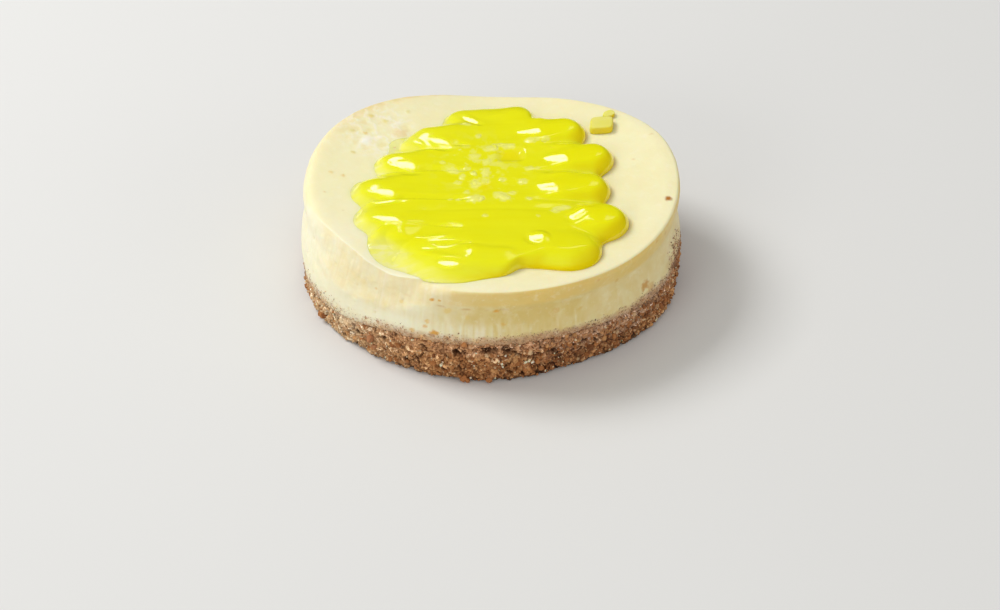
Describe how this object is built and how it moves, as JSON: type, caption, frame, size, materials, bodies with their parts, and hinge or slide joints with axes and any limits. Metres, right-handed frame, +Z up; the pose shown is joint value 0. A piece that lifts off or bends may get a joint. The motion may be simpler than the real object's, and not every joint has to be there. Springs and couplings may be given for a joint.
{
  "type": "baked cheesecake",
  "caption": "Small round baked cheesecake with a biscuit crumb base, a puffed rim and glossy lemon gel piped in a zigzag on top.",
  "frame": {"origin": "middle of the flat underside of the crumb base, on the surface the cake stands on", "axes": "+Z up through the cake; +Y towards the back of the cake as pictured, +X towards its right; the piped rows run along X"},
  "size_m": [0.0797, 0.0777, 0.0254],
  "materials": {
    "biscuit_crumb": "coarse dry biscuit crumb pressed with butter, golden brown with pale sugar grains",
    "baked_cheese": "smooth matte baked cream, pale yellow, faintly tanned on the rim's edge",
    "lemon_gel": "wet glossy translucent lemon yellow gel, paler where it is thin"
  },
  "bodies": {
    "root": {"crumb_base": "biscuit_crumb", "filling": "baked_cheese", "lemon_gel": "lemon_gel", "stray_gel_dice": "lemon_gel", "stray_gel_bit": "lemon_gel"}
  },
  "joints": []
}
